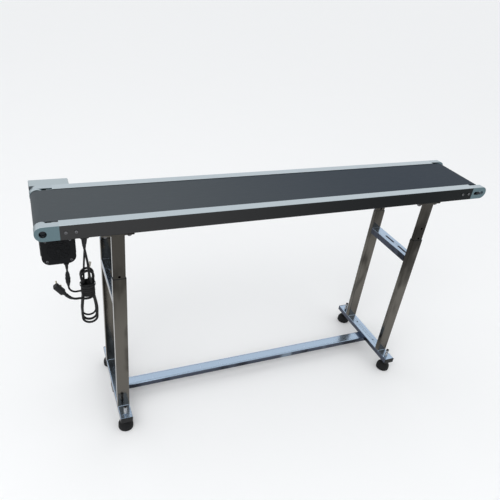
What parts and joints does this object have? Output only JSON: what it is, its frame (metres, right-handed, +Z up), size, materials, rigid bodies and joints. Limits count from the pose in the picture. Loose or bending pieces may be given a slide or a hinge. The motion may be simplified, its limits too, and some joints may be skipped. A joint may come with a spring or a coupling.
{
  "type": "belt conveyor section",
  "caption": "Narrow slider-bed belt conveyor on a polished tube stand, with an underslung geared motor, side drive guard, tensioned tail roller and telescopic legs on levelling feet.",
  "frame": {"origin": "on the floor, under the middle of the bed", "axes": "+X along the bed from the drive end to the tail end, +Y to the guard side away from the operator, +Z up"},
  "size_m": [1.5, 0.364, 0.78],
  "materials": {
    "rail_aluminium": "satin anodised",
    "bracket_aluminium": "fine cast, satin",
    "belt_pvc": "matt woven-backed PVC",
    "galvanised_sheet": "galvanised",
    "stainless_tube": "polished, mirror-like",
    "stainless_bar": "polished, mirror-like",
    "zinc_fastener": "bright zinc",
    "bearing_steel": "ground",
    "roller_steel": "turned",
    "guard_sheet": "light grey satin sheet",
    "dark_fastener": "dark oxide",
    "pale_nylon": "natural nylon",
    "motor_black": "black semi-matt",
    "belt_rubber": "matt",
    "black_plastic": "moulded, satin",
    "foot_rubber": "matt rubber pad with a zinc-plated stud",
    "cord_rubber": "matt PVC sheath",
    "brass_pin": "plated"
  },
  "bodies": {
    "stand": {"lower_tubes_left": "stainless_tube", "lower_tubes_right": "stainless_tube", "crossbar_left": "stainless_bar", "crossbar_right": "stainless_bar", "base_bar_left": "stainless_bar", "base_bar_right": "stainless_bar", "stretcher": "stainless_bar", "tube_plugs": "black_plastic", "lock_screws": "zinc_fastener", "stretcher_bolts": "zinc_fastener", "foot_nuts": "zinc_fastener"},
    "conveyor_bed": {"side_rail_near": "rail_aluminium", "side_rail_far": "rail_aluminium", "slider_bed": "galvanised_sheet", "bed_braces": "galvanised_sheet", "drive_bracket_near": "bracket_aluminium", "drive_bracket_far": "bracket_aluminium", "tail_bracket_near": "bracket_aluminium", "tail_bracket_far": "bracket_aluminium", "drive_bearings": "bearing_steel", "bracket_screws": "dark_fastener", "tension_screws": "zinc_fastener", "conveyor_belt": "belt_pvc", "upper_tubes_left": "stainless_tube", "upper_tubes_right": "stainless_tube", "leg_plates": "stainless_tube", "leg_bolts": "dark_fastener", "drive_plate": "guard_sheet", "gearbox": "motor_black", "gearbox_bolts": "zinc_fastener", "motor_body": "motor_black", "motor_cover": "motor_black", "v_belt": "belt_rubber", "guard_cover": "guard_sheet", "guard_fixings": "zinc_fastener", "speed_control": "black_plastic", "rocker_frame": "black_plastic", "power_cord": "cord_rubber", "motor_lead": "cord_rubber", "cord_hank": "cord_rubber", "cord_tie": "pale_nylon", "rail_grommet": "black_plastic", "motor_gland": "black_plastic", "lead_connector": "black_plastic", "mains_plug": "black_plastic", "plug_pins": "brass_pin"},
    "drive_roller": {"drive_roller": "roller_steel", "drive_shaft": "bearing_steel", "roller_pulley": "roller_steel"},
    "motor_shaft": {"gearbox_shaft": "bearing_steel", "motor_pulley": "roller_steel"},
    "tail_axle": {"tail_axle": "bearing_steel"},
    "tail_roller": {"tail_roller": "roller_steel", "tail_bearings": "bearing_steel"},
    "speed_knob": {"speed_knob": "black_plastic"},
    "rocker_switch": {"rocker_switch": "black_plastic"},
    "foot_left_near": {"foot_left_near": "foot_rubber"},
    "foot_left_far": {"foot_left_far": "foot_rubber"},
    "foot_right_near": {"foot_right_near": "foot_rubber"},
    "foot_right_far": {"foot_right_far": "foot_rubber"}
  },
  "joints": [
    {"name": "height_adjust", "type": "slide", "parent": "stand", "child": "conveyor_bed", "axis": [0, 0, 1], "range_m": [-0.08, 0.12]},
    {"name": "drive_roller_spin", "type": "hinge", "parent": "conveyor_bed", "child": "drive_roller", "pos_m": [-0.7285, 0, 0.7585], "axis": [0, 1, 0], "continuous": true},
    {"name": "motor_shaft_spin", "type": "hinge", "parent": "conveyor_bed", "child": "motor_shaft", "pos_m": [-0.6935, 0.12, 0.67], "axis": [0, 1, 0], "continuous": true},
    {"name": "belt_tension", "type": "slide", "parent": "conveyor_bed", "child": "tail_axle", "axis": [1, 0, 0], "range_m": [-0.012, 0]},
    {"name": "tail_roller_spin", "type": "hinge", "parent": "tail_axle", "child": "tail_roller", "pos_m": [0.7165, 0, 0.7585], "axis": [0, 1, 0], "continuous": true},
    {"name": "speed_knob_turn", "type": "hinge", "parent": "conveyor_bed", "child": "speed_knob", "pos_m": [-0.6705, 0.17, 0.7435], "axis": [0, 1, 0], "range_deg": [0, 280]},
    {"name": "rocker_tilt", "type": "hinge", "parent": "conveyor_bed", "child": "rocker_switch", "pos_m": [-0.6575, 0.165, 0.685], "axis": [-1, 0, 0], "range_deg": [0, 12]},
    {"name": "foot_left_near_level", "type": "slide", "parent": "stand", "child": "foot_left_near", "axis": [0, 0, -1], "range_m": [-0.004, 0.025]},
    {"name": "foot_left_far_level", "type": "slide", "parent": "stand", "child": "foot_left_far", "axis": [0, 0, -1], "range_m": [-0.004, 0.025]},
    {"name": "foot_right_near_level", "type": "slide", "parent": "stand", "child": "foot_right_near", "axis": [0, 0, -1], "range_m": [-0.004, 0.025]},
    {"name": "foot_right_far_level", "type": "slide", "parent": "stand", "child": "foot_right_far", "axis": [0, 0, -1], "range_m": [-0.004, 0.025]}
  ],
  "couplings": [
    {"joint": "motor_shaft_spin", "follows": "drive_roller_spin", "ratio": 0.75962},
    {"joint": "tail_roller_spin", "follows": "drive_roller_spin", "ratio": 1}
  ]
}
